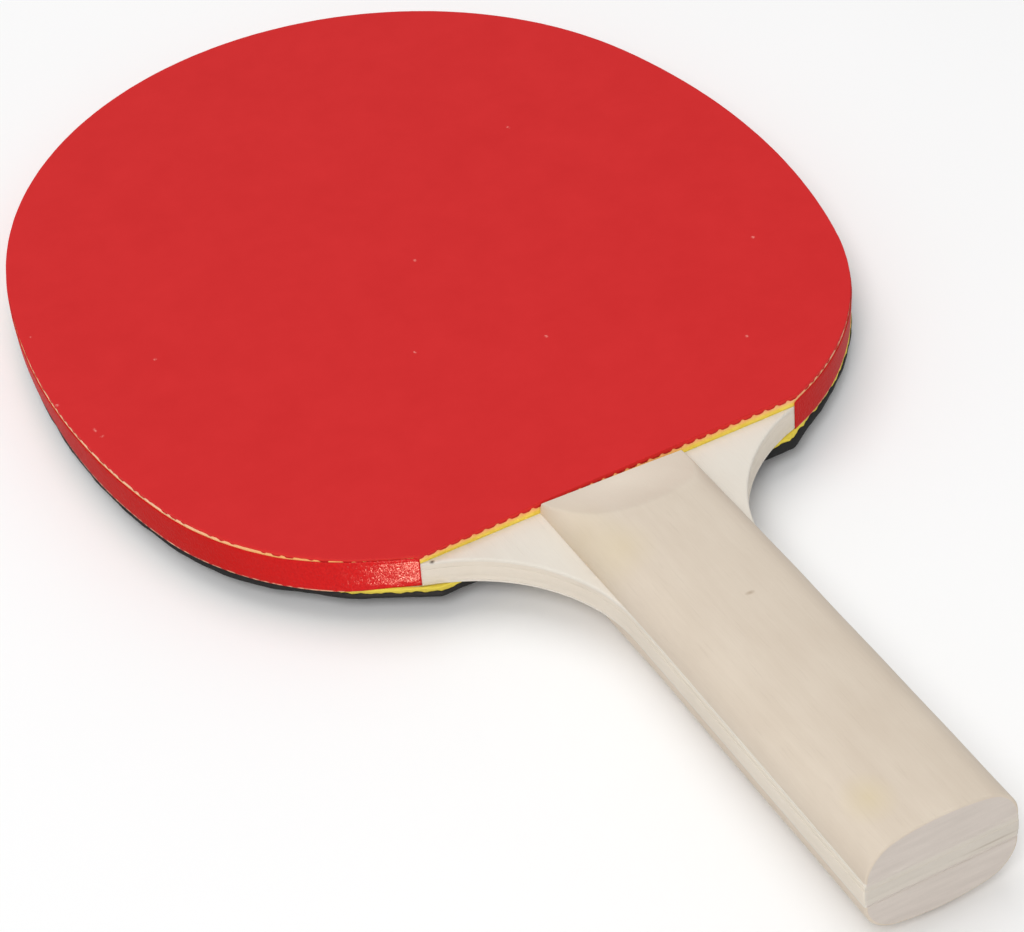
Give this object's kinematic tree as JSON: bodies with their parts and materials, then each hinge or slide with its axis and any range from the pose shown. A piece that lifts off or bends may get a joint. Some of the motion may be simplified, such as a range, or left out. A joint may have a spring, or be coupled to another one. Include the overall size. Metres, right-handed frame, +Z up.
{
  "type": "table tennis paddle",
  "caption": "Table tennis paddle: a rounded plywood blade with a red rubber and a black rubber, red edge tape and a straight bare-wood handle in two rounded halves.",
  "frame": {"origin": "centre of the paddle's bounding box, on the blade's middle plane and the paddle's long centre line", "axes": "+Y along the paddle from the butt to the top of the head, +Z up through the red face, +X across the blade"},
  "size_m": [0.1504, 0.2632, 0.0214],
  "materials": {
    "face_veneer": "bare pale veneer, sanded, fine straight grain along the handle",
    "cross_veneer": "bare veneer with its grain across the handle, seen only at its edges",
    "core_wood": "bare soft wood, seen only at its edges",
    "handle_wood": "bare pale wood, sanded smooth, matt",
    "red_rubber": "smooth, low sheen",
    "black_rubber": "smooth, low sheen",
    "yellow_sponge": "matt fine-celled foam",
    "red_tape": "glossy film with a fine woven texture"
  },
  "bodies": {
    "root": {"back_face_ply": "face_veneer", "front_face_ply": "face_veneer", "back_cross_ply": "cross_veneer", "front_cross_ply": "cross_veneer", "core_ply": "core_wood", "front_handle_scale": "handle_wood", "back_handle_scale": "handle_wood", "red_sponge": "yellow_sponge", "black_sponge": "yellow_sponge", "red_top_sheet": "red_rubber", "black_top_sheet": "black_rubber", "edge_tape": "red_tape"}
  },
  "joints": []
}
